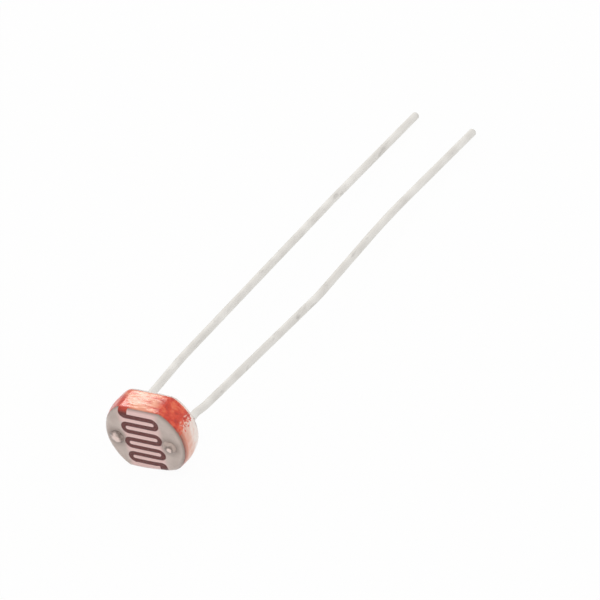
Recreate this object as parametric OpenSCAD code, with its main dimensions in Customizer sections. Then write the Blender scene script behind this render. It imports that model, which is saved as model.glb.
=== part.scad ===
// Light-dependent resistor: a ceramic disc with two flats carries a photoconductive layer, two comb
// electrodes with a serpentine track between them, and two wire leads, all dipped in clear resin.
// It lies on its lower flat and on the tips of its leads. The face looks along -Y, +Z is up.

/* [Head] */
// Width of the coated head across its round sides
head_w = 5.1; // [4.8:0.1:7]
// Depth of each flat below the round outline
flat_cut = 0.4; // [0.25:0.05:0.5]
// Thickness of the coated head, from its face to its seating side
head_t = 2.1; // [1.8:0.1:3]

/* [Coat] */
// Thickness of the clear resin over the face
coat_front = 0.08; // [0.06:0.01:0.15]
// Thickness of the clear resin round the sides
coat_side = 0.08; // [0.07:0.01:0.12]
// Thickness of the clear resin over the seating side
coat_back = 0.2; // [0.15:0.05:0.4]
// Radius of the edges of the coat
coat_edge_r = 0.38; // [0.3:0.01:0.42]
// Height of the resin collar that creeps along each lead
collar_h = 0.45; // [0.2:0.05:0.8]
// How far the foot of that collar spreads round the lead
collar_spread = 0.35; // [0.15:0.05:0.5]
// Thickness of the collar at its thin end
collar_lip = 0.04; // [0.03:0.01:0.1]

/* [Layers] */
// Thickness of the photoconductive layer
layer_t = 0.05; // [0.04:0.01:0.1]
// Radius of the edges of the ceramic disc
ceramic_edge_r = 0.2; // [0.15:0.01:0.25]
// How far the layer wraps back over the sides all round
wrap_depth = 0.55; // [0.35:0.05:0.7]
// Height above the axis from which the layer reaches deeper over the upper side
dip_z = 0.75; // [0.4:0.05:1.1]
// Slope of the edge of that deeper part, which rises towards the seating side, in degrees
dip_slope = 13; // [5:1:25]
// Distance from the seating side of the disc to the end of that deeper part
layer_stop = 0.08; // [0.05:0.01:0.15]
// Thickness of the electrode film
electrode_t = 0.04; // [0.04:0.01:0.06]
// How far the electrode film reaches back over the rounded rim of the face
electrode_wrap = 0.2; // [0.1:0.01:0.25]

/* [Track] */
// Number of straight strokes in the track
stroke_count = 7; // [5:2:7]
// Distance between neighbouring strokes
stroke_pitch = 0.555; // [0.5:0.005:0.57]
// Width of the track, which is the gap between the combs
track_w = 0.31; // [0.22:0.01:0.34]
// Width of the serpentine across its turns
track_span = 2.55; // [2.2:0.01:2.58]
// Width of the mouth where the track runs out over the edge
mouth_w = 0.58; // [0.45:0.01:0.7]

/* [Contacts] */
// Diameter of each dot of conductive paste
contact_d = 0.88; // [0.7:0.02:0.9]
// Height of each dot above the electrode
contact_h = 0.2; // [0.12:0.01:0.3]

/* [Leads] */
// Diameter of the wire
lead_d = 0.48; // [0.4:0.02:0.52]
// Distance between the leads where they leave the head
lead_pitch = 3.4; // [3.3:0.05:3.5]
// Gap round each lead in the holes of the disc
hole_gap = 0.03; // [0.02:0.01:0.06]
// Height of the wire's front end above the electrode
stub_h = 0.21; // [0.15:0.01:0.22]
// Chamfer on the cut ends of the wire
wire_chamfer = 0.06; // [0.02:0.01:0.1]
// Straight stretch of wire between the collar and its first bend
lead_exit = 0.1; // [0.05:0.05:1]
// Radius of the bend that lowers each lead to the table
fall_bend_r = 3; // [1:0.5:10]
// How much the wire thins in radius where it is bent
bend_thin = 0.005; // [0.004:0.001:0.01]
// Straight runs of the left lead after that bend
left_runs = [3.9, 15.7, 9.4]; // [0.4:0.1:20]
// Sideways bends between those runs, in degrees to the right
left_bends = [3.3, 1.1]; // [-10:0.1:10]
// Radius of each of those bends
left_bend_r = [30, 40]; // [3:1:100]
// Straight runs of the right lead after its bend to the table, with a kink close to the head
right_runs = [0.1, 0.3, 10.8, 5.8, 7.7]; // [0.1:0.1:20]
// Sideways bends between those runs, in degrees to the right
right_bends = [14.9, -8.6, -4.9, 4.1]; // [-15:0.1:15]
// Radius of each of those bends
right_bend_r = [1.5, 3, 12, 60]; // [1.5:0.5:100]

/* [Hidden] */
$fn = 96;

// Overlap of a cutter past the face that it cuts, and a length beyond the whole head
cut = 0.5;
far = 2 * head_w;

// Outline of the head, which lies with its axis half its height above the table
head_r = head_w / 2;
half_h = head_r - flat_cut;
axis_z = half_h;

// Layers, each drawn in from the outside of the coat
layer_inset = coat_side;
ceramic_inset = layer_inset + layer_t;
layer_edge_r = ceramic_edge_r + layer_t;
electrode_inset = layer_inset - electrode_t;
electrode_edge_r = layer_edge_r + electrode_t;

// Levels of the layers above the seating side
electrode_top = head_t - coat_front;
layer_top = electrode_top - electrode_t;
ceramic_top = layer_top - layer_t;
ceramic_t = ceramic_top - coat_back;

// Serpentine: the turns are half rings about their own centres
turn_r = stroke_pitch / 2;
turn_outer_r = turn_r + track_w / 2;
turn_inner_r = turn_r - track_w / 2;
turn_x = track_span / 2 - turn_outer_r;
first_stroke_z = (stroke_count - 1) * stroke_pitch / 2;
arc_step = 45;

// Each contact is a cap of a sphere whose centre lies this far below the electrode
contact_r = contact_d / 2;
contact_ball_r = (pow(contact_r, 2) + pow(contact_h, 2)) / (2 * contact_h);
contact_depth = contact_ball_r - contact_h;

// Leads
lead_r = lead_d / 2;
hole_r = lead_r + hole_gap;
stub_top = electrode_top + stub_h;
first_run = stub_top + collar_h + lead_exit;
bend_lap = 4 * bend_thin;
down = 90;

function stroke_z(i) = first_stroke_z - i * stroke_pitch;

// Heading of the run after bend i, and how far the bends and runs from i on carry the wire forward
function heading(bends, i) = i < 0 ? 0 : bends[i] + heading(bends, i - 1);
function bend_reach(bends, radii, i) = radii[i] * abs(sin(heading(bends, i)) - sin(heading(bends, i - 1)));
function reach(runs, bends, radii, i = 0) = runs[i] * cos(heading(bends, i - 1))
    + (i == len(bends) ? 0 : bend_reach(bends, radii, i) + reach(runs, bends, radii, i + 1));

// Angle at which a lead of that reach falls so that its tip just lies on the table
function fall(span) = asin((axis_z - fall_bend_r) / norm([span, lead_r - fall_bend_r]))
    - atan2(lead_r - fall_bend_r, span);

left_fall = fall(reach(left_runs, left_bends, left_bend_r));
right_fall = fall(reach(right_runs, right_bends, right_bend_r));

// Puts what is drawn face up, with its seating side at zero, on its lower flat
module stand() {
    translate([0, head_t / 2, axis_z])
        rotate([90, 0, 0])
            children();
}

// Wedge of a disc between two angles at most 180 degrees apart
module wedge(r, from, to) {
    middle = (from + to) / 2;
    reach = r / cos((to - from) / 4) + cut;
    intersection() {
        circle(r);
        polygon([[0, 0], for (a = [from, middle, to]) reach * [cos(a), sin(a)]]);
    }
}

// Half section of a plate with round edges, from its middle out to r
module rim_section(r, thick, edge) {
    square([r - edge, thick]);
    translate([r - edge, edge])
        square([edge, thick - 2 * edge]);
    translate([r - edge, thick - edge])
        wedge(edge, 0, 90);
    translate([r - edge, edge])
        wedge(edge, -90, 0);
}

// Plate of the head's outline with round edges: a revolved disc and a bar with the same edges
module head_plate(inset, thick, edge) {
    intersection() {
        rotate_extrude()
            rim_section(head_r - inset, thick, edge);
        rotate([90, 0, 90])
            linear_extrude(far, center = true)
                for (side = [0, 1])
                    mirror([side, 0])
                        rim_section(half_h - inset, thick, edge);
    }
}

module at_leads() {
    for (side = [-1, 1])
        translate([side * lead_pitch / 2, 0, 0])
            children();
}

// Holes for the leads through the disc and the layers on it
module lead_holes() {
    at_leads()
        cylinder(r = hole_r, h = head_t);
}

// Straight front part of a wire, up to its chamfered end in the contact
module wire_front() {
    translate([0, 0, stub_top - first_run])
        cylinder(r = lead_r, h = first_run - wire_chamfer);
    translate([0, 0, stub_top - wire_chamfer])
        cylinder(r1 = lead_r, r2 = lead_r - wire_chamfer, h = wire_chamfer);
}

module disc_blank() {
    translate([0, 0, coat_back])
        head_plate(ceramic_inset, ceramic_t, ceramic_edge_r);
}

// Space that the layer and the disc fill together, down to where the layer ends
module layer_blank() {
    intersection() {
        translate([0, 0, coat_back - layer_t])
            head_plate(layer_inset, layer_top - coat_back + layer_t, layer_edge_r);
        translate([-far, -far, coat_back + layer_stop])
            cube([2 * far, 2 * far, head_t]);
        union() {
            translate([-far, -far, layer_top - wrap_depth])
                cube([2 * far, 2 * far, head_t]);
            translate([-far, dip_z, layer_top - wrap_depth])
                rotate([dip_slope, 0, 0])
                    translate([0, 0, -far])
                        cube([2 * far, far, 2 * far]);
        }
    }
}

// Half ring that joins two strokes at their right ends, below the upper one
module track_turn() {
    translate([turn_x, -turn_r])
        difference() {
            wedge(turn_outer_r, -90, 90);
            circle(turn_inner_r);
        }
}

// Mouth at the left end of the top stroke, where the track runs out over the edge
module track_mouth() {
    translate([-turn_x, first_stroke_z + turn_r]) {
        wedge(turn_outer_r, 180, 270);
        translate([-turn_outer_r, 0])
            square([mouth_w, far]);
        translate([0, -turn_outer_r])
            square([mouth_w - turn_outer_r, turn_outer_r]);
    }
}

module track() {
    for (i = [0 : stroke_count - 1])
        translate([-turn_x, stroke_z(i) - track_w / 2])
            square([2 * turn_x, track_w]);
    for (i = [0 : stroke_count - 2])
        translate([0, stroke_z(i)])
            mirror([i % 2, 0])
                track_turn();
    for (turn = [0, 180])
        rotate(turn)
            track_mouth();
}

// Everything to the left of a line that stays inside the track from mouth to mouth
module left_of_track() {
    mouth_x = turn_x + turn_r;
    turns = [
        for (i = [0 : stroke_count - 2])
            for (a = [90 : -arc_step : -90])
                [(i % 2 == 0 ? 1 : -1) * (turn_x + turn_r * cos(a)), stroke_z(i) - turn_r * (1 - sin(a))]
    ];
    polygon(concat(
        [[-far, far], [-mouth_x, far], [-mouth_x, first_stroke_z + turn_r], [-turn_x, first_stroke_z]],
        turns,
        [[turn_x, -first_stroke_z], [mouth_x, -first_stroke_z - turn_r], [mouth_x, -far], [-far, -far]]
    ));
}

// Space of one comb and the layer under it, over the face and its rounded rim. A half turn makes the
// left comb's side into the right one's.
module comb_blank(turn) {
    intersection() {
        translate([0, 0, coat_back])
            head_plate(electrode_inset, electrode_top - coat_back, electrode_edge_r);
        translate([0, 0, electrode_top - electrode_wrap])
            linear_extrude(head_t)
                difference() {
                    rotate(turn)
                        left_of_track();
                    track();
                }
    }
}

// One comb, with the hole for its lead
module comb(turn) {
    difference() {
        comb_blank(turn);
        layer_blank();
        lead_holes();
    }
}

// Round cap over a lead, grown evenly for the coat above the contact
module contact_cap(grow) {
    translate([0, 0, electrode_top])
        intersection() {
            translate([0, 0, -contact_depth])
                sphere(contact_ball_r + grow);
            cylinder(r = contact_r + grow, h = contact_h + grow + cut);
        }
}

// Straight run of wire, which laps into the bends at its ends
module wire_run(length, lap_start, lap_end) {
    translate([0, 0, -lap_start])
        cylinder(r = lead_r, h = length + lap_start + lap_end);
}

// Bend in the wire, and what follows it. It turns towards +X when the angle is positive.
module wire_bend(angle, r) {
    side = angle < 0 ? 1 : 0;
    turn = abs(angle);
    if (turn > 0)
        mirror([side, 0, 0])
            translate([r, 0, 0])
                rotate([90, 0, 0])
                    rotate([0, 0, 180 - turn])
                        rotate_extrude(angle = turn)
                            translate([r, 0])
                                circle(lead_r - bend_thin);
    translate([(1 - 2 * side) * r * (1 - cos(turn)), 0, r * sin(turn)])
        rotate([0, angle, 0])
            children();
}

// Runs of wire from i on, each one followed by its bend, and the cut tip
module wire_runs(runs, bends, radii, i = 0) {
    if (i < len(bends)) {
        wire_run(runs[i], bend_lap, bend_lap);
        translate([0, 0, runs[i]])
            wire_bend(bends[i], radii[i])
                wire_runs(runs, bends, radii, i + 1);
    } else {
        wire_run(runs[i] - wire_chamfer, bend_lap, 0);
        translate([0, 0, runs[i] - wire_chamfer])
            cylinder(r1 = lead_r, r2 = lead_r - wire_chamfer, h = wire_chamfer);
    }
}

// Lead from its front end in the contact, through the head and down to the table
module lead(side, fall, runs, bends, radii) {
    stand()
        translate([side * lead_pitch / 2, 0, 0]) {
            wire_front();
            translate([0, 0, stub_top - first_run])
                rotate([180, 0, 0]) {
                    wire_run(bend_lap, bend_lap, 0);
                    rotate([0, 0, down])
                        wire_bend(fall, fall_bend_r)
                            rotate([0, 0, -down])
                                wire_runs(runs, bends, radii);
                }
        }
}

module ceramic_base() {
    color("#ece2da")
        stand()
            difference() {
                disc_blank();
                lead_holes();
            }
}

module photoconductive_layer() {
    color("#cf4a33")
        stand()
            difference() {
                layer_blank();
                disc_blank();
                lead_holes();
            }
}

module left_electrode() {
    color("#b9aea5")
        stand()
            comb(0);
}

module right_electrode() {
    color("#b9aea5")
        stand()
            comb(180);
}

// Dot of paste round the front end of one wire
module contact(side) {
    stand()
        translate([side * lead_pitch / 2, 0, 0])
            difference() {
                contact_cap(0);
                wire_front();
            }
}

module left_contact() {
    color("#a89e96")
        contact(-1);
}

module right_contact() {
    color("#a89e96")
        contact(1);
}

module left_lead() {
    color("#d6d4ce")
        lead(-1, left_fall, left_runs, left_bends, left_bend_r);
}

module right_lead() {
    color("#d6d4ce")
        lead(1, right_fall, right_runs, right_bends, right_bend_r);
}

// Resin over everything on the head, with a swelling over each contact and a collar round each lead
module resin_coat() {
    color("#f3e7e0", 0.35)
        stand()
            difference() {
                union() {
                    head_plate(0, head_t, coat_edge_r);
                    at_leads() {
                        contact_cap(coat_front);
                        translate([0, 0, -collar_h])
                            cylinder(r1 = lead_r + collar_lip, r2 = lead_r + collar_spread, h = collar_h);
                    }
                }
                disc_blank();
                layer_blank();
                comb_blank(0);
                comb_blank(180);
                at_leads() {
                    contact_cap(0);
                    wire_front();
                }
            }
}

ceramic_base();
photoconductive_layer();
left_electrode();
right_electrode();
left_contact();
right_contact();
left_lead();
right_lead();
resin_coat();
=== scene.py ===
from math import acos, asin, atan2, cos, degrees, hypot, pi, radians, sin, sqrt, tan

import bmesh
import bpy
from mathutils import Matrix, Vector, noise


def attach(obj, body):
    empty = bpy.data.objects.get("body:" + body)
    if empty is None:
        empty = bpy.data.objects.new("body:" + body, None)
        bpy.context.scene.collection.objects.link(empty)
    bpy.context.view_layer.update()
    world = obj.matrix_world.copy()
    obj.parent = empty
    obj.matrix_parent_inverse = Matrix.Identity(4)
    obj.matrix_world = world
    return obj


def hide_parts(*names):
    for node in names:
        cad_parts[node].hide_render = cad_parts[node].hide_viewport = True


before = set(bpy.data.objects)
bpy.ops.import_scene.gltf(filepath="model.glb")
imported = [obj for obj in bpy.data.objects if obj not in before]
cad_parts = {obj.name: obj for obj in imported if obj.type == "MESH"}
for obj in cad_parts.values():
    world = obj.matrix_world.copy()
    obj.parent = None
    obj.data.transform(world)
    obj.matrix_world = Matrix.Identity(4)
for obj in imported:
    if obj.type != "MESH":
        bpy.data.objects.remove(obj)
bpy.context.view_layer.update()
scene = bpy.context.scene
scene.view_settings.view_transform = "Standard"

mm = 0.001
perMm = 1000.0  # object coordinates are metres, so a pattern of n per millimetre has scale n * perMm
tiny = 1e-6


def linear(hexColour):
    parts = [int(hexColour[i:i + 2], 16) / 255 for i in (1, 3, 5)]
    return tuple(c / 12.92 if c <= 0.04045 else ((c + 0.055) / 1.055) ** 2.4 for c in parts) + (1.0,)


# adds a node: sockets maps an input's name or number to a value, to a node's output, or to a node,
# which then gives its first output in use
def addNode(tree, kind, sockets=None, **settings):
    node = tree.nodes.new(kind)
    for key, value in settings.items():
        setattr(node, key, value)
    for key, value in (sockets or {}).items():
        if isinstance(value, bpy.types.Node):
            value = next(output for output in value.outputs if output.enabled)
        if isinstance(value, bpy.types.NodeSocket):
            tree.links.new(value, node.inputs[key])
        else:
            node.inputs[key].default_value = value
    return node


def newMaterial(name):
    mat = bpy.data.materials.new(name)
    mat.use_nodes = True
    mat.node_tree.nodes.clear()
    return mat, mat.node_tree


def linkObject(name, data):
    obj = bpy.data.objects.new(name, data)
    scene.collection.objects.link(obj)
    return obj


def clamped(value, low=0.0, high=1.0):
    return min(max(value, low), high)


def eased(value):
    share = clamped(value)
    return share ** 2 * (3 - 2 * share)


# sizes of the head in millimetres, as in the part's source
head = {"width": 5.1, "flatCut": 0.4, "thick": 2.1, "filmDepth": 0.08, "leadPitch": 3.4}
headR = head["width"] / 2
halfH = headR - head["flatCut"]
axisZ = halfH
faceY = -head["thick"] / 2
filmY = faceY + head["filmDepth"]
leadX = head["leadPitch"] / 2


# camera: the photograph's view, found by fitting the head's outline, the track and the leads
cameraView = {
    "place": (109.178, -137.247, 142.188),  # mm
    "right": (0.87287, 0.45552, -0.17493),
    "up": (-0.1625, 0.60939, 0.77604),
    "lens": 240.0,
    "sensor": 36.0,
    "clipStart": 10.0,
}
camData = bpy.data.cameras.new("camera")
camData.lens = cameraView["lens"]
camData.sensor_width = cameraView["sensor"]
camData.clip_start = cameraView["clipStart"] * mm
camera = linkObject("camera", camData)
axisX = Vector(cameraView["right"]).normalized()
axisY = Vector(cameraView["up"]).normalized()
axisB = axisX.cross(axisY).normalized()
axisY = axisB.cross(axisX)
turn = Matrix((axisX, axisY, axisB)).transposed().to_4x4()
camera.matrix_world = Matrix.Translation(Vector(cameraView["place"]) * mm) @ turn
scene.camera = camera
print("camera set")


# stage: white table, white surroundings, one softbox behind that glares in the upper flat
stage = {
    "floorRadius": 600.0,  # mm
    "floorPoints": 96,
    "floorColour": "#f4f3f1",
    "floorWhite": 0.95,  # share of plain white that the eye sees, the rest carries the shadow
    "skyLight": 0.9,
    "boxDirection": (-0.504, 0.624, 0.598),
    "boxDistance": 320.0,
    "boxSize": 38.0,
    "boxRadiance": 11.0,
    "boxColour": "#fff8f2",
}
plainWhite = (1.0, 1.0, 1.0, 1.0)


# 1 for what the eye meets directly, in a mirror or through glass, 0 for the light that falls on the object
def seenRays(tree):
    path = addNode(tree, "ShaderNodeLightPath")
    seen = addNode(tree, "ShaderNodeMath",
                   {0: path.outputs["Is Camera Ray"], 1: path.outputs["Is Glossy Ray"]}, operation="MAXIMUM")
    return addNode(tree, "ShaderNodeMath",
                   {0: seen, 1: path.outputs["Is Transmission Ray"]}, operation="MAXIMUM")


floorR = stage["floorRadius"] * mm
floorTurns = [2 * pi * i / stage["floorPoints"] for i in range(stage["floorPoints"])]
floorMesh = bpy.data.meshes.new("table")
floorRing = [(floorR * cos(t), floorR * sin(t), 0) for t in floorTurns]
floorMesh.from_pydata(floorRing, [], [range(len(floorRing))])
floor = linkObject("table", floorMesh)
floorMat, tree = newMaterial("white table")
share = addNode(tree, "ShaderNodeMath", {0: seenRays(tree), 1: stage["floorWhite"]}, operation="MULTIPLY")
paper = addNode(tree, "ShaderNodeBsdfDiffuse", {"Color": linear(stage["floorColour"])})
glow = addNode(tree, "ShaderNodeEmission", {"Color": plainWhite, "Strength": 1.0})
both = addNode(tree, "ShaderNodeMixShader", {0: share, 1: paper, 2: glow})
addNode(tree, "ShaderNodeOutputMaterial", {"Surface": both})
floorMesh.materials.append(floorMat)

world = bpy.data.worlds.new("white surroundings")
scene.world = world
world.use_nodes = True
tree = world.node_tree
tree.nodes.clear()
level = addNode(tree, "ShaderNodeMapRange",
                {"Value": seenRays(tree), "To Min": stage["skyLight"], "To Max": 1.0})
sky = addNode(tree, "ShaderNodeBackground", {"Color": plainWhite, "Strength": level})
addNode(tree, "ShaderNodeOutputWorld", {"Surface": sky})

boxData = bpy.data.lights.new("softbox", "AREA")
boxData.size = stage["boxSize"] * mm
boxData.color = linear(stage["boxColour"])[:3]
boxData.energy = stage["boxRadiance"] * pi * boxData.size ** 2
softbox = linkObject("softbox", boxData)
toBox = Vector(stage["boxDirection"]).normalized()
softbox.location = Vector((0, 0, axisZ * mm)) + toBox * stage["boxDistance"] * mm
softbox.rotation_euler = toBox.to_track_quat("Z", "Y").to_euler()
softbox.visible_camera = False
print("stage set")


# red edge: where the red layer gives way to the bare ceramic, ragged with stray grains.
# Both the layer and the ceramic read it, so the edge runs on over the step between them.
redEdge = {
    "height": 0.88,  # mm above the head's axis, at the depth where the front band ends
    "frontY": -0.38,
    "slope": 1.0,  # degrees, rising towards the seating side
    "backY": 0.68,  # from here it climbs steeply, so that the back stays bare
    "backSlope": 82.0,
    "grain": 0.1,
    "grainRange": (0.3, 0.7),
    "patch": 0.5,
    "patchShare": 0.4,
    "detail": 1.0,
    "ragged": 1.2,
    "soft": 0.12,
}
edgeGroup = bpy.data.node_groups.new("red edge", "ShaderNodeTree")
edgeGroup.interface.new_socket("Amount", in_out="OUTPUT", socket_type="NodeSocketFloat")
tree = edgeGroup
coords = addNode(tree, "ShaderNodeTexCoord").outputs["Object"]
axes = addNode(tree, "ShaderNodeSeparateXYZ", {0: coords})
rise = addNode(tree, "ShaderNodeMath", {0: axes.outputs["Y"], 1: -redEdge["frontY"] * mm}, operation="ADD")
rise = addNode(tree, "ShaderNodeMath",
               {0: rise, 1: tan(radians(redEdge["slope"])), 2: (axisZ + redEdge["height"]) * mm},
               operation="MULTIPLY_ADD")
past = addNode(tree, "ShaderNodeMath", {0: axes.outputs["Y"], 1: redEdge["backY"] * mm}, operation="SUBTRACT")
past = addNode(tree, "ShaderNodeMath", {0: past, 1: 0.0}, operation="MAXIMUM")
rise = addNode(tree, "ShaderNodeMath", {0: past, 1: tan(radians(redEdge["backSlope"])), 2: rise},
               operation="MULTIPLY_ADD")
inside = addNode(tree, "ShaderNodeMath", {0: axes.outputs["Z"], 1: rise}, operation="SUBTRACT")
grains = addNode(tree, "ShaderNodeTexNoise",
                 {"Vector": coords, "Scale": perMm / redEdge["grain"], "Detail": redEdge["detail"]})
grains = addNode(tree, "ShaderNodeMapRange",
                 {"Value": grains, "From Min": redEdge["grainRange"][0],
                  "From Max": redEdge["grainRange"][1]})
patches = addNode(tree, "ShaderNodeTexNoise",
                  {"Vector": coords, "Scale": perMm / redEdge["patch"], "Detail": redEdge["detail"]})
rough = addNode(tree, "ShaderNodeMix", {0: redEdge["patchShare"], 2: grains, 3: patches})
rough = addNode(tree, "ShaderNodeMath", {0: rough, 1: 0.5}, operation="SUBTRACT")  # now swings about 0
reach = addNode(tree, "ShaderNodeMath", {0: rough, 1: redEdge["ragged"] * mm, 2: inside},
                operation="MULTIPLY_ADD")
amount = addNode(tree, "ShaderNodeMapRange",
                 {"Value": reach, "From Min": -redEdge["soft"] / 2 * mm,
                  "From Max": redEdge["soft"] / 2 * mm}, interpolation_type="SMOOTHSTEP")
addNode(tree, "NodeGroupOutput", {"Amount": amount})


# sintered cadmium sulphide: a baked powder layer, matt and granular, sealed in resin and so without a gloss
# of its own. It is maroon in the narrow track, and that maroon is carried back round the rim as painted
# shade. The upper side is bright orange red, with a pale painted highlight for the glare on it.
layerLook = {
    "track": "#571c17",
    "trackPale": "#6d2a24",
    "deep": "#ba3321",
    "red": "#d8432a",
    "orange": "#ec724c",
    "stops": ((0.34, "deep"), (0.5, "red"), (0.68, "orange")),
    # painted highlight: this pale peach stands in for the softbox's glare on the upper flat
    "paintedGlare": "#f6b090",
    "band": "#de927a",
    "pale": "#efcabb",
    # from frontY back to sideY, and to paleY below the red edge, the track's maroon fades into the side:
    # painted shade along the rim
    "frontY": -0.92,  # mm: in front of this it is the track
    "sideY": -0.65,  # behind this it is the side, below the red edge only from paleY on
    "paleY": -0.38,
    "bandY": (-0.45, -0.3),  # below the red edge the front band ends here
    "mouthZ": (1.8, 2.15),  # above the axis, where the mouth of the track turns red
    "flatZ": (1.95, 2.05),  # above the axis, where the streaks of the upper flat start
    "mottle": 0.42,
    "streakSize": (1.0, 0.24, 0.24),
    "streakRange": (0.28, 0.58),
    "streakMost": 0.9,
    "streakLeft": (-1.45, -0.75),  # the streaks fade out towards the ends of the flat
    "streakRight": (1.2, 0.55),
    "streakLean": (0.9, 0.22),  # how far the left end leans out and the right one in towards the back
    "overX": -1.3,  # left of this the streaks run on down over the corner
    "overFall": 0.9,
    "grain": 0.07,  # coarser than the real powder, so that it shows
    "grainHeight": 0.02,
    "grainStrength": 0.35,
    "roughness": 0.75,
}
layerMat, tree = newMaterial("sintered cadmium sulphide")
coords = addNode(tree, "ShaderNodeTexCoord").outputs["Object"]
axes = addNode(tree, "ShaderNodeSeparateXYZ", {0: coords})
mottle = addNode(tree, "ShaderNodeTexNoise",
                 {"Vector": coords, "Scale": perMm / layerLook["mottle"], "Detail": 3.0, "Roughness": 0.6})
grain = addNode(tree, "ShaderNodeTexNoise",
                {"Vector": coords, "Scale": perMm / layerLook["grain"], "Detail": 1.0})
reds = addNode(tree, "ShaderNodeValToRGB", {0: mottle})
reds.color_ramp.elements.new(0.5)  # a third stop, between the two that a ramp starts with
for element, (place, tone) in zip(reds.color_ramp.elements, layerLook["stops"]):
    element.position = place
    element.color = linear(layerLook[tone])
# painted highlight: pale glare laid along the upper flat, fading out towards its ends and running over the
# left corner
along = addNode(tree, "ShaderNodeMapping",
                {"Vector": coords, "Scale": tuple(perMm / width for width in layerLook["streakSize"])})
glareStreaks = addNode(tree, "ShaderNodeTexNoise", {"Vector": along, "Scale": 1.0, "Detail": 2.0})
glareStreaks = addNode(tree, "ShaderNodeMapRange",
                  {"Value": glareStreaks, "From Min": layerLook["streakRange"][0],
                   "From Max": layerLook["streakRange"][1], "To Max": layerLook["streakMost"]},
                  interpolation_type="SMOOTHSTEP")
over = addNode(tree, "ShaderNodeMath",
               {0: layerLook["overX"] * mm, 1: axes.outputs["X"]}, operation="SUBTRACT")
over = addNode(tree, "ShaderNodeMath", {0: over, 1: 0.0}, operation="MAXIMUM")
over = addNode(tree, "ShaderNodeMath", {0: over, 1: layerLook["overFall"], 2: axes.outputs["Z"]},
               operation="MULTIPLY_ADD")
upper = addNode(tree, "ShaderNodeMapRange",
                {"Value": over, "From Min": (axisZ + layerLook["flatZ"][0]) * mm,
                 "From Max": (axisZ + layerLook["flatZ"][1]) * mm}, interpolation_type="SMOOTHSTEP")
glareStreaks = addNode(tree, "ShaderNodeMath", {0: glareStreaks, 1: upper}, operation="MULTIPLY")
for (none, full), lean in zip((layerLook["streakLeft"], layerLook["streakRight"]), layerLook["streakLean"]):
    end = addNode(tree, "ShaderNodeMath", {0: axes.outputs["Y"], 1: lean, 2: axes.outputs["X"]},
                  operation="MULTIPLY_ADD")
    fade = addNode(tree, "ShaderNodeMapRange", {"Value": end, "From Min": none * mm, "From Max": full * mm},
                   interpolation_type="SMOOTHSTEP")
    glareStreaks = addNode(tree, "ShaderNodeMath", {0: glareStreaks, 1: fade}, operation="MULTIPLY")
reds = addNode(tree, "ShaderNodeMix", {0: glareStreaks, 6: reds, 7: linear(layerLook["paintedGlare"])}, data_type="RGBA")
edge = addNode(tree, "ShaderNodeGroup", node_tree=edgeGroup).outputs["Amount"]
bandEnd = addNode(tree, "ShaderNodeMapRange",
                  {"Value": axes.outputs["Y"], "From Min": layerLook["bandY"][0] * mm,
                   "From Max": layerLook["bandY"][1] * mm})
pales = addNode(tree, "ShaderNodeMix",
                {0: bandEnd, 6: linear(layerLook["band"]), 7: linear(layerLook["pale"])}, data_type="RGBA")
sides = addNode(tree, "ShaderNodeMix", {0: edge, 6: pales, 7: reds}, data_type="RGBA")
tracks = addNode(tree, "ShaderNodeMix",
                 {0: mottle, 6: linear(layerLook["track"]), 7: linear(layerLook["trackPale"])},
                 data_type="RGBA")
# painted shade: how far back over the rim the track colour reaches
rimShadeEnd = addNode(tree, "ShaderNodeMapRange",
                 {"Value": edge, "To Min": layerLook["paleY"] * mm, "To Max": layerLook["sideY"] * mm})
depth = addNode(tree, "ShaderNodeMapRange",
                {"Value": axes.outputs["Y"], "From Min": layerLook["frontY"] * mm, "From Max": rimShadeEnd},
                interpolation_type="SMOOTHSTEP")
mouth = addNode(tree, "ShaderNodeMapRange",
                {"Value": axes.outputs["Z"], "From Min": (axisZ + layerLook["mouthZ"][0]) * mm,
                 "From Max": (axisZ + layerLook["mouthZ"][1]) * mm}, interpolation_type="SMOOTHSTEP")
turned = addNode(tree, "ShaderNodeMath", {0: depth, 1: mouth}, operation="MAXIMUM")
colour = addNode(tree, "ShaderNodeMix", {0: turned, 6: tracks, 7: sides}, data_type="RGBA")
bump = addNode(tree, "ShaderNodeBump",
               {"Height": grain, "Strength": layerLook["grainStrength"],
                "Distance": layerLook["grainHeight"] * mm})
skin = addNode(tree, "ShaderNodeBsdfPrincipled",
               {"Base Color": colour, "Roughness": layerLook["roughness"], "Specular IOR Level": 0.0,
                "Normal": bump})
addNode(tree, "ShaderNodeOutputMaterial", {"Surface": skin})


# pressed alumina: white ceramic, matt, with pink blotches where the red layer has bled into it, more of them
# near the face
ceramicLook = {
    "white": "#f3ebe6",
    "pink": "#ecc4b5",
    "orange": "#e2a088",
    "stops": ((0.3, "white"), (0.6, "pink"), (0.9, "orange")),
    "red": "#d8432a",
    "blotch": 0.45,
    "blotchHeight": 0.02,
    "blotchStrength": 0.2,
    "stainY": (-0.5, 0.75),
    "stain": (0.3, -0.25),  # how much the blotches gain at the front and lose at the back
    "roughness": 0.6,
    "gloss": 0.1,
}
ceramicMat, tree = newMaterial("pressed alumina")
coords = addNode(tree, "ShaderNodeTexCoord").outputs["Object"]
axes = addNode(tree, "ShaderNodeSeparateXYZ", {0: coords})
blotches = addNode(tree, "ShaderNodeTexNoise",
                   {"Vector": coords, "Scale": perMm / ceramicLook["blotch"], "Detail": 4.0,
                    "Roughness": 0.65})
stain = addNode(tree, "ShaderNodeMapRange",
                {"Value": axes.outputs["Y"], "From Min": ceramicLook["stainY"][0] * mm,
                 "From Max": ceramicLook["stainY"][1] * mm, "To Min": ceramicLook["stain"][0],
                 "To Max": ceramicLook["stain"][1]})
stain = addNode(tree, "ShaderNodeMath", {0: blotches, 1: stain}, operation="ADD")
pale = addNode(tree, "ShaderNodeValToRGB", {0: stain})
pale.color_ramp.elements.new(0.5)
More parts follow.
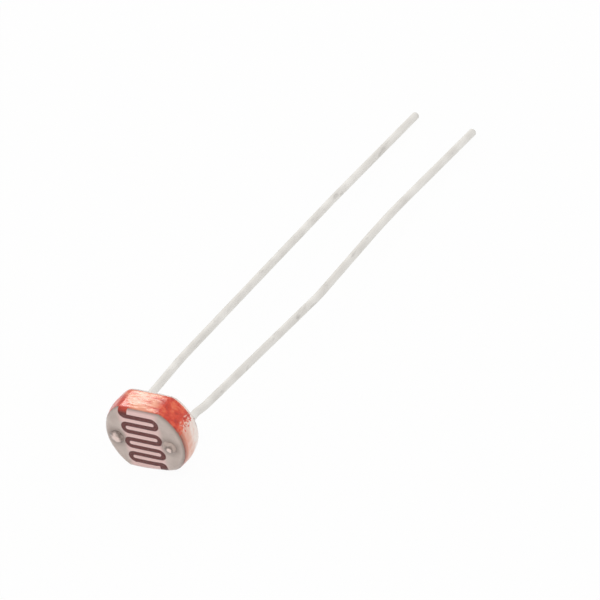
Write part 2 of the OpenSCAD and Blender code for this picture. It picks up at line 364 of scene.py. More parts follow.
for element, (place, tone) in zip(pale.color_ramp.elements, ceramicLook["stops"]):
    element.position = place
    element.color = linear(ceramicLook[tone])
edge = addNode(tree, "ShaderNodeGroup", node_tree=edgeGroup).outputs["Amount"]
colour = addNode(tree, "ShaderNodeMix", {0: edge, 6: pale, 7: linear(ceramicLook["red"])}, data_type="RGBA")
bump = addNode(tree, "ShaderNodeBump",
               {"Height": blotches, "Strength": ceramicLook["blotchStrength"],
                "Distance": ceramicLook["blotchHeight"] * mm})
skin = addNode(tree, "ShaderNodeBsdfPrincipled",
               {"Base Color": colour, "Roughness": ceramicLook["roughness"],
                "Specular IOR Level": ceramicLook["gloss"], "Normal": bump})
addNode(tree, "ShaderNodeOutputMaterial", {"Surface": skin})


# evaporated metal film on a granular layer: satin grey, and so thin on the fingers that the red below tints
# it pink. Where it runs out over the rim and round the paste drops it is made darker with painted shade.
filmLook = {
    "grey": "#c0b4ae",
    "greyPale": "#d3c9c3",
    "greyRange": (0.3, 0.7),
    "finger": "#f1d1cf",
    "paintedShade": "#83736a",
    "fingerX": 0.95,  # mm: the pink of the fingers ends between these two, and wavers
    "broadX": 1.45,
    "waver": 0.3,
    "rimY": (-0.93, -0.8),
    "rimShade": 0.75,
    "haloR": (0.85, 0.4),
    "haloShade": 0.5,
    "cloud": 0.8,
    "grain": 0.05,  # coarser than the real grain, so that it shows
    "grainHeight": 0.01,
    "grainStrength": 0.25,
    "roughness": (0.42, 0.62),
    "metallic": 0.2,
    "gloss": 0.2,
}
filmMat, tree = newMaterial("evaporated metal film")
coords = addNode(tree, "ShaderNodeTexCoord").outputs["Object"]
axes = addNode(tree, "ShaderNodeSeparateXYZ", {0: coords})
cloud = addNode(tree, "ShaderNodeTexNoise",
                {"Vector": coords, "Scale": perMm / filmLook["cloud"], "Detail": 3.0})
grain = addNode(tree, "ShaderNodeTexNoise",
                {"Vector": coords, "Scale": perMm / filmLook["grain"], "Detail": 1.0})
beside = addNode(tree, "ShaderNodeMath", {0: axes.outputs["X"]}, operation="ABSOLUTE")
out = addNode(tree, "ShaderNodeMath", {0: cloud, 1: filmLook["waver"] * mm, 2: beside},
              operation="MULTIPLY_ADD")
broad = addNode(tree, "ShaderNodeMapRange",
                {"Value": out, "From Min": (filmLook["fingerX"] + filmLook["waver"] / 2) * mm,
                 "From Max": (filmLook["broadX"] + filmLook["waver"] / 2) * mm},
                interpolation_type="SMOOTHSTEP")
patchy = addNode(tree, "ShaderNodeMapRange",
                 {"Value": cloud, "From Min": filmLook["greyRange"][0], "From Max": filmLook["greyRange"][1]})
greys = addNode(tree, "ShaderNodeMix",
                {0: patchy, 6: linear(filmLook["grey"]), 7: linear(filmLook["greyPale"])}, data_type="RGBA")
colour = addNode(tree, "ShaderNodeMix", {0: broad, 6: linear(filmLook["finger"]), 7: greys}, data_type="RGBA")
# painted shade: the film is made darker where it runs out over the rim
rim = addNode(tree, "ShaderNodeMapRange",
              {"Value": axes.outputs["Y"], "From Min": filmLook["rimY"][0] * mm,
               "From Max": filmLook["rimY"][1] * mm, "To Max": filmLook["rimShade"]})
# painted shade: the film is made darker in a ring round each paste drop, most under it
beside = addNode(tree, "ShaderNodeMath", {0: beside, 1: leadX * mm}, operation="SUBTRACT")
up = addNode(tree, "ShaderNodeMath", {0: axes.outputs["Z"], 1: axisZ * mm}, operation="SUBTRACT")
spot = addNode(tree, "ShaderNodeCombineXYZ", {0: beside, 2: up})
away = addNode(tree, "ShaderNodeVectorMath", {0: spot}, operation="LENGTH").outputs["Value"]
contactShade = addNode(tree, "ShaderNodeMapRange",
               {"Value": away, "From Min": filmLook["haloR"][0] * mm, "From Max": filmLook["haloR"][1] * mm,
                "To Max": filmLook["haloShade"]}, interpolation_type="SMOOTHSTEP")
dim = addNode(tree, "ShaderNodeMath", {0: rim, 1: contactShade}, operation="MAXIMUM")
colour = addNode(tree, "ShaderNodeMix", {0: dim, 6: colour, 7: linear(filmLook["paintedShade"])}, data_type="RGBA")
satin = addNode(tree, "ShaderNodeMapRange",
                {"Value": cloud, "To Min": filmLook["roughness"][0], "To Max": filmLook["roughness"][1]})
bump = addNode(tree, "ShaderNodeBump",
               {"Height": grain, "Strength": filmLook["grainStrength"],
                "Distance": filmLook["grainHeight"] * mm})
skin = addNode(tree, "ShaderNodeBsdfPrincipled",
               {"Base Color": colour, "Metallic": filmLook["metallic"], "Roughness": satin,
                "Specular IOR Level": filmLook["gloss"], "Normal": bump})
addNode(tree, "ShaderNodeOutputMaterial", {"Surface": skin})


# cured metal paste: metal flakes in a binder, lumpy. A painted highlight sits over the wire's end, with a
# ring of painted shade round it.
pasteLook = {
    "centre": "#f4e2dc",
    "dip": "#75665f",
    "rim": "#c3b4ac",
    "stops": ((0.12, "centre"), (0.26, "dip"), (0.42, "rim")),  # from its middle out, in shares of patchSize
    "flake": 0.3,
    "flakeHeight": 0.05,
    "flakeStrength": 0.5,
    "uneven": 0.3,
    "besideX": (leadX, leadX + 0.07),  # mm: middle of the bright patch on the right and on the left
    "patchZ": (axisZ - 0.08, axisZ - 0.02),
    "patchSize": (0.85, 1.2),
    "patchTall": (1.0, 1.6),
    "roughness": 0.45,
    "metallic": 0.3,
}
pasteMat, tree = newMaterial("cured metal paste")
coords = addNode(tree, "ShaderNodeTexCoord").outputs["Object"]
axes = addNode(tree, "ShaderNodeSeparateXYZ", {0: coords})
flakes = addNode(tree, "ShaderNodeTexNoise",
                 {"Vector": coords, "Scale": perMm / pasteLook["flake"], "Detail": 2.0})
onLeft = addNode(tree, "ShaderNodeMath", {0: axes.outputs["X"], 1: 0.0}, operation="LESS_THAN")
pairs = (
    [x * mm for x in pasteLook["besideX"]],
    [z * mm for z in pasteLook["patchZ"]],
    [perMm / size for size in pasteLook["patchSize"]],
    [1 / tall for tall in pasteLook["patchTall"]],
)
middleX, middleZ, narrow, squat = [
    addNode(tree, "ShaderNodeMapRange", {"Value": onLeft, "To Min": right, "To Max": left})
    for right, left in pairs
]
out = addNode(tree, "ShaderNodeMath", {0: axes.outputs["X"]}, operation="ABSOLUTE")
out = addNode(tree, "ShaderNodeMath", {0: out, 1: middleX}, operation="SUBTRACT")
up = addNode(tree, "ShaderNodeMath", {0: axes.outputs["Z"], 1: middleZ}, operation="SUBTRACT")
up = addNode(tree, "ShaderNodeMath", {0: up, 1: squat}, operation="MULTIPLY")
spot = addNode(tree, "ShaderNodeCombineXYZ", {0: out, 2: up})
away = addNode(tree, "ShaderNodeVectorMath", {0: spot}, operation="LENGTH").outputs["Value"]
uneven = addNode(tree, "ShaderNodeMapRange",
                 {"Value": flakes, "To Min": -pasteLook["uneven"] * mm, "To Max": pasteLook["uneven"] * mm})
away = addNode(tree, "ShaderNodeMath", {0: away, 1: uneven}, operation="ADD")
away = addNode(tree, "ShaderNodeMath", {0: away, 1: narrow}, operation="MULTIPLY")
# painted highlight in the middle of each drop and painted shade in a ring round it, by distance from the wire
colour = addNode(tree, "ShaderNodeValToRGB", {0: away})
colour.color_ramp.elements.new(0.5)
for element, (place, tone) in zip(colour.color_ramp.elements, pasteLook["stops"]):
    element.position = place
    element.color = linear(pasteLook[tone])
bump = addNode(tree, "ShaderNodeBump",
               {"Height": flakes, "Strength": pasteLook["flakeStrength"],
                "Distance": pasteLook["flakeHeight"] * mm})
skin = addNode(tree, "ShaderNodeBsdfPrincipled",
               {"Base Color": colour, "Metallic": pasteLook["metallic"], "Roughness": pasteLook["roughness"],
                "Normal": bump})
addNode(tree, "ShaderNodeOutputMaterial", {"Surface": skin})


# tin-plated steel wire: drawn, then dipped, so it is a warm satin grey with fine drawing marks along it,
# cloudy where the tin is thicker, and with darker flecks where it has been handled
wireLook = {
    "bright": "#edebe7",
    "dull": "#d9d6d1",
    "fleck": "#a39f9a",
    "markSize": (0.09, 3.0, 0.09),  # mm across, along and across the lead, coarser than real ones to show
    "markHeight": 0.02,
    "markStrength": 0.2,
    "cloudSize": (0.9, 1.3, 0.9),
    "cloudShare": 0.6,
    "toneRange": (0.3, 0.7),
    "fleckSize": (0.35, 0.8, 0.35),
    "fleckRange": (0.61, 0.8),
    "fleckMost": 0.42,
    "roughness": (0.55, 0.75),
}
wireMat, tree = newMaterial("tinned steel wire")
coords = addNode(tree, "ShaderNodeTexCoord").outputs["Object"]
layers = []
for size, detail in (("markSize", 3.0), ("cloudSize", 1.0), ("fleckSize", 2.0)):
    along = addNode(tree, "ShaderNodeMapping",
                    {"Vector": coords, "Scale": tuple(perMm / width for width in wireLook[size])})
    layers.append(addNode(tree, "ShaderNodeTexNoise", {"Vector": along, "Scale": 1.0, "Detail": detail}))
marks, clouds, flecks = layers
mixed = addNode(tree, "ShaderNodeMix", {0: wireLook["cloudShare"], 2: marks, 3: clouds})
mixed = addNode(tree, "ShaderNodeMapRange",
                {"Value": mixed, "From Min": wireLook["toneRange"][0], "From Max": wireLook["toneRange"][1]})
colour = addNode(tree, "ShaderNodeMix",
                 {0: mixed, 6: linear(wireLook["dull"]), 7: linear(wireLook["bright"])}, data_type="RGBA")
tarnish = addNode(tree, "ShaderNodeMapRange",
                  {"Value": flecks, "From Min": wireLook["fleckRange"][0],
                   "From Max": wireLook["fleckRange"][1], "To Max": wireLook["fleckMost"]})
colour = addNode(tree, "ShaderNodeMix",
                 {0: tarnish, 6: colour, 7: linear(wireLook["fleck"])}, data_type="RGBA")
satin = addNode(tree, "ShaderNodeMapRange",
                {"Value": marks, "To Min": wireLook["roughness"][0], "To Max": wireLook["roughness"][1]})
bump = addNode(tree, "ShaderNodeBump",
               {"Height": marks, "Strength": wireLook["markStrength"],
                "Distance": wireLook["markHeight"] * mm})
skin = addNode(tree, "ShaderNodeBsdfPrincipled",
               {"Base Color": colour, "Metallic": 1.0, "Roughness": satin, "Normal": bump})
addNode(tree, "ShaderNodeOutputMaterial", {"Surface": skin})


# clear epoxy, dipped: glossy, slightly wavy as it ran. Lamps and bounced light pass straight through it.
resinLook = {
    "tint": "#fff4ee",
    "ior": 1.5,
    "roughness": 0.16,
    "wave": (1.2, 0.33, 0.4),  # mm across, through the thickness and up
    "waveHeight": 0.03,
}
resinMat, tree = newMaterial("clear dipped epoxy")
coords = addNode(tree, "ShaderNodeTexCoord").outputs["Object"]
along = addNode(tree, "ShaderNodeMapping",
                {"Vector": coords, "Scale": tuple(perMm / width for width in resinLook["wave"])})
waves = addNode(tree, "ShaderNodeTexNoise", {"Vector": along, "Scale": 1.0, "Detail": 2.0})
bump = addNode(tree, "ShaderNodeBump",
               {"Height": waves, "Strength": 1.0, "Distance": resinLook["waveHeight"] * mm})
glass = addNode(tree, "ShaderNodeBsdfPrincipled",
                {"Base Color": linear(resinLook["tint"]), "Roughness": resinLook["roughness"],
                 "IOR": resinLook["ior"], "Transmission Weight": 1.0, "Normal": bump})
clear = addNode(tree, "ShaderNodeBsdfTransparent", {"Color": plainWhite})
path = addNode(tree, "ShaderNodeLightPath")
passing = addNode(tree, "ShaderNodeMath",
                  {0: path.outputs["Is Shadow Ray"], 1: path.outputs["Is Diffuse Ray"]}, operation="MAXIMUM")
both = addNode(tree, "ShaderNodeMixShader", {0: passing, 1: glass, 2: clear})
addNode(tree, "ShaderNodeOutputMaterial", {"Surface": both})
print("materials made")


# turns the result of a piece's node tree into its plain mesh
def bakeTree(obj, tree, values):
    modifier = obj.modifiers.new("build", "NODES")
    modifier.node_group = tree
    for item in tree.interface.items_tree:
        if item.item_type == "SOCKET" and item.in_out == "INPUT" and item.name in values:
            modifier[item.identifier] = values[item.name]
    bpy.context.view_layer.update()
    built = bpy.data.meshes.new_from_object(obj.evaluated_get(bpy.context.evaluated_depsgraph_get()))
    obj.modifiers.remove(modifier)
    obj.data = built


def newTree(name, inputs):
    tree = bpy.data.node_groups.new(name, "GeometryNodeTree")
    tree.interface.new_socket("Geometry", in_out="INPUT", socket_type="NodeSocketGeometry")
    for socketName, kind in inputs:
        tree.interface.new_socket(socketName, in_out="INPUT", socket_type="NodeSocket" + kind)
    tree.interface.new_socket("Geometry", in_out="OUTPUT", socket_type="NodeSocketGeometry")
    return tree, addNode(tree, "NodeGroupInput").outputs


# leads: the same straight runs and bends as in the part's source
wire = {
    "radius": 0.24,  # mm
    "frontY": -1.1,  # just under the paste
    "fallY": 1.6,  # where the bend to the table starts
    "fallRadius": 3.0,
    "bendPoints": 24,
    "sides": 28,
    "step": 0.08,
    "chamfer": 0.06,
    "dents": 0.008,
    "dentLength": 1.4,
}
leads = {
    "left_lead": {
        "x": -leadX,
        "runs": [3.9, 15.7, 9.4],
        "bends": [3.3, 1.1],  # degrees to the right
        "radii": [30, 40],
        "seed": 3.0,
    },
    "right_lead": {
        "x": leadX,
        "runs": [0.1, 0.3, 10.8, 5.8, 7.7],
        "bends": [14.9, -8.6, -4.9, 4.1],
        "radii": [1.5, 3, 12, 60],
        "seed": 11.0,
    },
}

wireTree, given = newTree("bent wire", [
    ("Radius", "Float"), ("Sides", "Int"), ("Step", "Float"), ("Bend Points", "Int"), ("Chamfer", "Float"),
    ("Dents", "Float"), ("Dent Length", "Float"), ("Seed", "Float"), ("Material", "Material"),
])
tree = wireTree
line = addNode(tree, "GeometryNodeMeshToCurve", {"Mesh": given["Geometry"]})
bendR = addNode(tree, "GeometryNodeInputNamedAttribute", {"Name": "bendRadius"}, data_type="FLOAT")
line = addNode(tree, "GeometryNodeFilletCurve",
               {"Curve": line, "Count": given["Bend Points"], "Radius": bendR.outputs[0]}, mode="POLY")
line = addNode(tree, "GeometryNodeResampleCurve", {"Curve": line, "Length": given["Step"]}, mode="LENGTH")
place = addNode(tree, "GeometryNodeSplineParameter").outputs["Length"]
total = addNode(tree, "GeometryNodeSplineLength").outputs["Length"]
left = addNode(tree, "ShaderNodeMath", {0: total, 1: place}, operation="SUBTRACT")
near = addNode(tree, "ShaderNodeMath", {0: left, 1: place}, operation="MINIMUM")
cutBack = addNode(tree, "ShaderNodeMath", {0: given["Chamfer"], 1: given["Radius"]}, operation="DIVIDE")
narrow = addNode(tree, "ShaderNodeMath", {0: 1.0, 1: cutBack}, operation="SUBTRACT")
girth = addNode(tree, "ShaderNodeMapRange",
                {"Value": near, "From Max": given["Chamfer"], "To Min": narrow, "To Max": 1.0})
spot = addNode(tree, "ShaderNodeMath", {0: place, 1: given["Dent Length"]}, operation="DIVIDE")
spot = addNode(tree, "ShaderNodeMath", {0: spot, 1: given["Seed"]}, operation="ADD")
dent = addNode(tree, "ShaderNodeTexNoise", {"W": spot, "Scale": 1.0, "Detail": 1.0}, noise_dimensions="1D")
dent = addNode(tree, "ShaderNodeMath", {0: dent, 1: given["Dents"]}, operation="MULTIPLY")
dent = addNode(tree, "ShaderNodeMath", {0: dent, 1: given["Radius"]}, operation="DIVIDE")
girth = addNode(tree, "ShaderNodeMath", {0: girth, 1: dent}, operation="SUBTRACT")
ring = addNode(tree, "GeometryNodeCurvePrimitiveCircle",
               {"Resolution": given["Sides"], "Radius": given["Radius"]})
tube = addNode(tree, "GeometryNodeCurveToMesh",
               {"Curve": line, "Profile Curve": ring, "Scale": girth, "Fill Caps": True})
corners = addNode(tree, "GeometryNodeInputMeshFaceNeighbors").outputs["Vertex Count"]
wall = addNode(tree, "FunctionNodeCompare", {2: corners, 3: given["Sides"]},
               data_type="INT", operation="LESS_THAN")  # all but the two ends
tube = addNode(tree, "GeometryNodeSetShadeSmooth", {"Geometry": tube, "Shade Smooth": wall})
tube = addNode(tree, "GeometryNodeRealizeInstances", {"Geometry": tube})
tube = addNode(tree, "GeometryNodeSetMaterial", {"Geometry": tube, "Material": given["Material"]})
addNode(tree, "NodeGroupOutput", {"Geometry": tube})


# corner points of a lead and the radius of the bend at each one, in millimetres
def leadCorners(lead):
    heading, reach = 0.0, 0.0
    for i, run in enumerate(lead["runs"]):
        reach += run * cos(heading)
        if i < len(lead["bends"]):
            turned = heading + radians(lead["bends"][i])
            reach += lead["radii"][i] * abs(sin(turned) - sin(heading))
            heading = turned
    drop = wire["radius"] - wire["fallRadius"]
    fall = asin((axisZ - wire["fallRadius"]) / hypot(reach, drop)) - atan2(drop, reach)
    ahead, right = Vector((0, cos(fall), -sin(fall))), Vector((1, 0, 0))
    last = wire["fallRadius"] * tan(fall / 2)
    spot = Vector((lead["x"], wire["fallY"] + last, axisZ))
    corners = [(Vector((lead["x"], wire["frontY"], axisZ)), 0.0), (spot, wire["fallRadius"])]
    heading = 0.0
    for i, run in enumerate(lead["runs"]):
        bend = radians(lead["bends"][i]) if i < len(lead["bends"]) else 0.0
        radius = lead["radii"][i] if bend else 0.0
        setBack = radius * tan(abs(bend) / 2)
        spot = spot + (ahead * cos(heading) + right * sin(heading)) * (last + run + setBack)
        corners.append((spot, radius))
        heading, last = heading + bend, setBack
    return corners


for name, lead in leads.items():
    corners = leadCorners(lead)
    mesh = bpy.data.meshes.new(name + "_wire")
    mesh.from_pydata([c * mm for c, _ in corners], [(i, i + 1) for i in range(len(corners) - 1)], [])
    bendRadius = mesh.attributes.new("bendRadius", "FLOAT", "POINT")
    bendRadius.data.foreach_set("value", [r * mm for _, r in corners])
    piece = linkObject(name + "_wire", mesh)
    bakeTree(piece, wireTree, {
        "Radius": wire["radius"] * mm,
        "Sides": wire["sides"],
        "Step": wire["step"] * mm,
        "Bend Points": wire["bendPoints"],
        "Chamfer": wire["chamfer"] * mm,
        "Dents": wire["dents"] * mm,
        "Dent Length": wire["dentLength"] * mm,
        "Seed": lead["seed"],
        "Material": wireMat,
    })
    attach(piece, "root")
    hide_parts(name)
print("leads made")


# contacts: a lumpy drop of paste round the front end of each wire
dot = {"radius": 0.44, "height": 0.2, "lump": 0.3, "lumpDepth": 0.1, "detail": 5}
dotTree, given = newTree("paste drop", [
    ("Radius", "Float"), ("Height", "Float"), ("Lump Size", "Float"), ("Lump Depth", "Float"),
    ("Detail", "Int"), ("Centre", "Vector"), ("Seed", "Float"), ("Material", "Material"),
])
tree = dotTree
ball = addNode(tree, "GeometryNodeMeshIcoSphere", {"Radius": 1.0, "Subdivisions": given["Detail"]})
where = addNode(tree, "GeometryNodeInputPosition").outputs[0]
size = addNode(tree, "ShaderNodeMath", {0: given["Radius"], 1: given["Lump Size"]}, operation="DIVIDE")
lumps = addNode(tree, "ShaderNodeTexNoise",
                {"Vector": where, "W": given["Seed"], "Scale": size, "Detail": 1.0}, noise_dimensions="4D")
sunk = addNode(tree, "ShaderNodeMath", {0: given["Lump Depth"], 1: given["Radius"]}, operation="DIVIDE")
sunk = addNode(tree, "ShaderNodeMath", {0: lumps, 1: sunk}, operation="MULTIPLY")
keep = addNode(tree, "ShaderNodeMath", {0: 1.0, 1: sunk}, operation="SUBTRACT")
lumpy = addNode(tree, "ShaderNodeVectorMath", {0: where, "Scale": keep}, operation="SCALE")
axes = addNode(tree, "ShaderNodeSeparateXYZ", {0: lumpy})
front = addNode(tree, "ShaderNodeMath", {0: axes.outputs["Y"], 1: 0.0}, operation="MINIMUM")
front = addNode(tree, "ShaderNodeMath", {0: front, 1: given["Height"]}, operation="MULTIPLY")
across = addNode(tree, "ShaderNodeMath", {0: axes.outputs["X"], 1: given["Radius"]}, operation="MULTIPLY")
upward = addNode(tree, "ShaderNodeMath", {0: axes.outputs["Z"], 1: given["Radius"]}, operation="MULTIPLY")
spot = addNode(tree, "ShaderNodeCombineXYZ", {0: across, 1: front, 2: upward})
spot = addNode(tree, "ShaderNodeVectorMath", {0: spot, 1: given["Centre"]}, operation="ADD")
drop = addNode(tree, "GeometryNodeSetPosition", {"Geometry": ball, "Position": spot})
drop = addNode(tree, "GeometryNodeSetShadeSmooth", {"Geometry": drop})
drop = addNode(tree, "GeometryNodeRealizeInstances", {"Geometry": drop})
drop = addNode(tree, "GeometryNodeSetMaterial", {"Geometry": drop, "Material": given["Material"]})
addNode(tree, "NodeGroupOutput", {"Geometry": drop})

for name, side, seed in (("left_contact", -1, 2.0), ("right_contact", 1, 5.0)):
    piece = linkObject(name + "_paste", bpy.data.meshes.new(name + "_paste"))
    bakeTree(piece, dotTree, {
        "Radius": dot["radius"] * mm,
        "Height": dot["height"] * mm,
        "Lump Size": dot["lump"] * mm,
        "Lump Depth": dot["lumpDepth"] * mm,
        "Detail": dot["detail"],
        "Centre": (side * leadX * mm, filmY * mm, axisZ * mm),
        "Seed": seed,
        "Material": pasteMat,
    })
    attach(piece, "root")
    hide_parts(name)
print("contacts made")


# sealed pieces: copies of the disc, the layer and the films. The lower right corner between the flat and the
# round side is rubbed off, and the lower strokes of the track lie a little closer together.
sealed = {
    "blend": 0.6,  # mm, how far round the corner the rounding reaches
    "besideX": 0.8,  # it fades out from here to the middle of the flat
    "deep": (0.35, 0.95),  # and this far inside the outline, so that the middle of the face stays as it is
    "lift": 0.115,  # of the face at liftZ below the axis, growing towards it
    "liftZ": 1.8,
    "liftPower": 1.5,
    "liftInset": (0.1, 0.4),  # it fades out towards the outline, which stays as it is
    "cutFrom": 41.0,  # degrees below the leads' plane, where the rounding needs more points
    "cutStep": 3.0,
    "cutCount": 17,
    "merge": 0.0001,
    "probe": 0.001,
    "probeIn": 0.1,
    "pieces": {
        "ceramic_base": ("ceramic_disc", "alumina_ceramic", ceramicMat),
        "photoconductive_layer": ("sulphide_layer", "cadmium_sulphide", layerMat),
        "left_electrode": ("left_film", "electrode_film", filmMat),
        "right_electrode": ("right_film", "electrode_film", filmMat),
    },
}


# how far a point that lies x beside and z above the head's axis is inside the head's outline
def insetOf(x, z):
    return min(halfH - abs(z), headR - hypot(x, z))


# where the rounding takes such a point
def rubbed(x, z, share=1.0):
    if x <= 0 or z >= 0:
        return x, z
    r = hypot(x, z)
    inset = insetOf(x, z)
    shallow, deep = sealed["deep"]
    share *= eased((deep - inset) / (deep - shallow)) * eased(x / sealed["besideX"])
    flat = (halfH - inset) * r / max(abs(z), tiny)
    gap = max(1 - abs(flat - headR + inset) / sealed["blend"], 0.0)
    keep = 1 - share * gap ** 2 * sealed["blend"] / 4 / r
    return x * keep, z * keep


def strokeLift(x, z):
    near, clear = sealed["liftInset"]
    down = max(-z / sealed["liftZ"], 0.0)
    return sealed["lift"] * down ** sealed["liftPower"] * eased((insetOf(x, z) - near) / (clear - near))


def shiftedPoint(point):
    besideX, aboveZ = point.x * perMm, point.z * perMm - axisZ
    x, z = rubbed(besideX, aboveZ)
    return Vector((x, point.y * perMm, z + strokeLift(besideX, aboveZ) + axisZ)) * mm


def atCorner(vert):
    x, z = vert.co.x * perMm, vert.co.z * perMm - axisZ
    return hypot(x, z) - hypot(*rubbed(x, z)) > sealed["merge"]


# a merged copy of a solid's mesh with its points shifted and its own normals turned along with them
def shiftedCopy(source, name):
    bm = bmesh.new()
    bm.from_mesh(source)
    kept = bm.loops.layers.float_vector.new("kept normal")
    for face in bm.faces:
        for loop, corner in zip(face.loops, source.polygons[face.index].loop_indices):
            loop[kept] = source.corner_normals[corner].vector
    bmesh.ops.remove_doubles(bm, verts=bm.verts, dist=sealed["merge"] * mm)
    near = [face for face in bm.faces if any(atCorner(vert) for vert in face.verts)]
    geom = list({vert for face in near for vert in face.verts})
    geom += list({edge for face in near for edge in face.edges})
    geom += near
    for i in range(sealed["cutCount"]):
        angle = radians(sealed["cutFrom"] + i * sealed["cutStep"])
        cut = bmesh.ops.bisect_plane(bm, geom=geom, dist=sealed["merge"] * mm, plane_co=(0, 0, axisZ * mm),
                                     plane_no=(sin(angle), 0, cos(angle)))
        geom = cut["geom"]
    turned = []
    for face in bm.faces:
        middle = face.calc_center_median()
        for loop in face.loops:
            normal = loop[kept].normalized()
            spot = loop.vert.co.lerp(middle, sealed["probeIn"])
            first = normal.orthogonal().normalized()
            second = normal.cross(first)
            home = shiftedPoint(spot)
            first = (shiftedPoint(spot + first * sealed["probe"] * mm) - home) / (sealed["probe"] * mm)
            second = (shiftedPoint(spot + second * sealed["probe"] * mm) - home) / (sealed["probe"] * mm)
            turned.append(first.cross(second).normalized())
    for vert in bm.verts:
        vert.co = shiftedPoint(vert.co)
    mesh = bpy.data.meshes.new(name)
    bm.to_mesh(mesh)
    bm.free()
    mesh.polygons.foreach_set("use_smooth", [True] * len(mesh.polygons))
    mesh.normals_split_custom_set(turned)
    return mesh


for node, (name, slot, mat) in sealed["pieces"].items():
    piece = linkObject(name, shiftedCopy(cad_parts[node].data, name))
    piece.data.materials.append(mat)
    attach(piece, "root")
    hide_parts(node)
print("sealed pieces made")


# coat: the skin of the resin, with a swelling over each contact and a meniscus round each lead
coat = {
    "edge": 0.38,  # mm
    "cornerBlend": 0.12,
    "crown": 0.01,  # how far the sides fall off from their middle to the rounded edges
    "flatCrown": 0.03,  # how far the flats fall off from their middle to the corners
    "crownReach": 1.2,  # in half lengths of the flat, past which they fall no further
    "swell": 0.105,  # of the round sides, in the middle of the thickness and between flats and widest points
    "full": 0.055,  # how far the front edge stands out at the lower left, where the resin has run together
    "fullFrom": 201.0,  # degrees round the head, from the right over the top
    "fullTo": 292.0,
    "tightY": -0.74,  # in front of this the corners stay close to the film that reaches round the rim
    "looseY": -0.55,
    "tight": 0.2,
    "round": 376,  # puts points on the four corners
    "flatRings": 52,
    "edgeRings": 10,
    "sideRings": 12,
    "domeBall": 0.664,
    "domeDepth": 0.384,
    "collarHeight": 0.45,
    "collarInner": 0.28,
    "collarOuter": 0.59,
    "meniscus": 1.6,
    "sag": 0.008,
    "sagShares": (0.7, 0.5),  # even part and wavy part
    "sagSize": 1.3,
    "sagSeed": 7.0,
}


def outlineRadius(angle, inset, y):
    loose = clamped((y - coat["tightY"]) / (coat["looseY"] - coat["tightY"]), coat["tight"])
    blend = coat["cornerBlend"] * loose
    level = halfH - inset
    rise = max(abs(sin(angle)), tiny)
    along = min(level * abs(cos(angle)) / rise / sqrt(headR ** 2 - halfH ** 2), coat["crownReach"])
    flat = (level - coat["flatCrown"] * loose * along ** 2) / rise
    disc = headR - inset
    gap = max(blend - abs(flat - disc), 0.0) / blend
    turnShare = min(asin(min(rise, 1.0)) / asin(halfH / headR), 1.0)
    swell = coat["swell"] * sin(pi * turnShare) ** 2 * cos(pi / 2 * y / faceY) ** 2
    return min(flat, disc) - gap ** 2 * blend / 4 + swell


# how far a point of the front edge is pushed out and forward
def edgePush(angle, y):
    share = (degrees(angle) - coat["fullFrom"]) / (coat["fullTo"] - coat["fullFrom"])
    climb = (y - faceY) / coat["edge"]
    if not 0 < share < 1 or climb >= 1:
        return 0.0
    return coat["full"] * sin(pi * share) ** 2 * sin(2 * acos(1 - climb)) / sqrt(2)


# how much of the rounding of the corner the skin takes, which is all of it round the face
def rubbedShare(y):
    return clamped((coat["looseY"] - y) / (coat["looseY"] - coat["tightY"]))


def faceLift(x, z):
    lift = 0.0
    for side in (-1, 1):
        r2 = (x - side * leadX) ** 2 + z ** 2
        if r2 < coat["domeBall"] ** 2:
            lift = max(lift, sqrt(coat["domeBall"] ** 2 - r2) - coat["domeDepth"] - head["filmDepth"])
    return lift


def backLift(x, z):
    lift = 0.0
    for side in (-1, 1):
        r = hypot(x - side * leadX, z)
        climb = (coat["collarOuter"] - r) / (coat["collarOuter"] - coat["collarInner"])
        lift = max(lift, coat["collarHeight"] * clamped(climb) ** coat["meniscus"])
    return lift


def sagAt(x, y, z):
    even, wavy = coat["sagShares"]
    return coat["sag"] * (even + wavy * noise.noise(Vector((x, y + coat["sagSeed"], z)) / coat["sagSize"]))


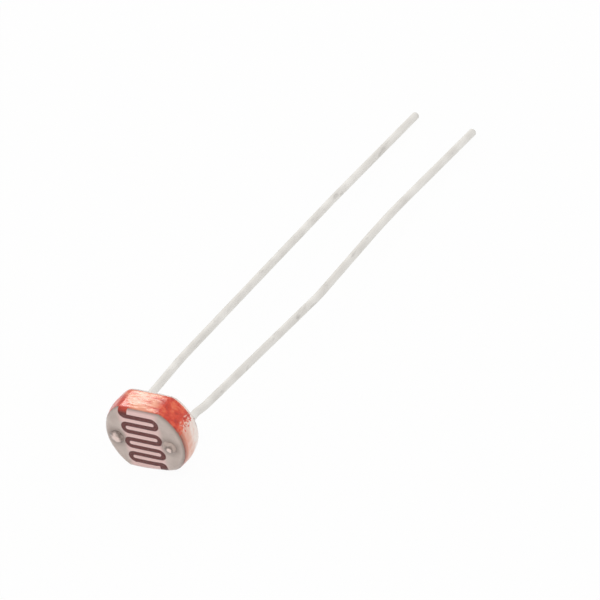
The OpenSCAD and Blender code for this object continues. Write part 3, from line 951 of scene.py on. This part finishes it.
# rings from the middle of the face out, over the edge and the side, and in to the middle of the back
sideY = faceY + coat["edge"]
profile = []  # inset of the ring's outline, its share of that outline, its depth, and what lifts it
for i in range(1, coat["flatRings"] + 1):
    profile.append((coat["edge"], i / coat["flatRings"], faceY, -1))
for i in range(1, coat["edgeRings"] + 1):
    a = i / coat["edgeRings"] * pi / 2
    profile.append((coat["edge"] * (1 - sin(a)), 1.0, faceY + coat["edge"] * (1 - cos(a)), 0))
for i in range(1, coat["sideRings"]):
    profile.append((0.0, 1.0, sideY - 2 * sideY * i / coat["sideRings"], 0))
for i in range(coat["edgeRings"], -1, -1):
    a = i / coat["edgeRings"] * pi / 2
    profile.append((coat["edge"] * (1 - sin(a)), 1.0, -faceY - coat["edge"] * (1 - cos(a)), 0 if i else 1))
for i in range(coat["flatRings"] - 1, 0, -1):
    profile.append((coat["edge"], i / coat["flatRings"], -faceY, 1))

count = coat["round"]
points = [(0.0, faceY, axisZ)]
for inset, share, y, lifted in profile:
    for k in range(count):
        angle = 2 * pi * k / count
        r = outlineRadius(angle, inset, y) * share
        sunk = sagAt(r * cos(angle), y, r * sin(angle))
        push = 0.0
        if not lifted:
            push = edgePush(angle, y)
            r += push - sunk - coat["crown"] * min(abs(y / sideY), 1.0) ** 2
        x, z = rubbed(r * cos(angle), r * sin(angle), rubbedShare(y))
        depth = y - push
        if lifted < 0:
            depth = y - faceLift(x, z) + sunk
        elif lifted > 0:
            depth = y + backLift(x, z) - sunk
        points.append((x, depth, axisZ + z))
points.append((0.0, -faceY, axisZ))
faces = [(0, 1 + k, 1 + (k + 1) % count) for k in range(count)]
for j in range(len(profile) - 1):
    a, b = 1 + j * count, 1 + (j + 1) * count
    faces += [(a + k, b + k, b + (k + 1) % count, a + (k + 1) % count) for k in range(count)]
a = 1 + (len(profile) - 1) * count
faces += [(len(points) - 1, a + (k + 1) % count, a + k) for k in range(count)]
coatMesh = bpy.data.meshes.new("resin_skin")
coatMesh.from_pydata([(x * mm, y * mm, z * mm) for x, y, z in points], [], faces)
coatMesh.polygons.foreach_set("use_smooth", [True] * len(coatMesh.polygons))
coatMesh.materials.append(resinMat)
resin = linkObject("resin_skin", coatMesh)
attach(resin, "root")
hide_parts("resin_coat")
print("coat made")
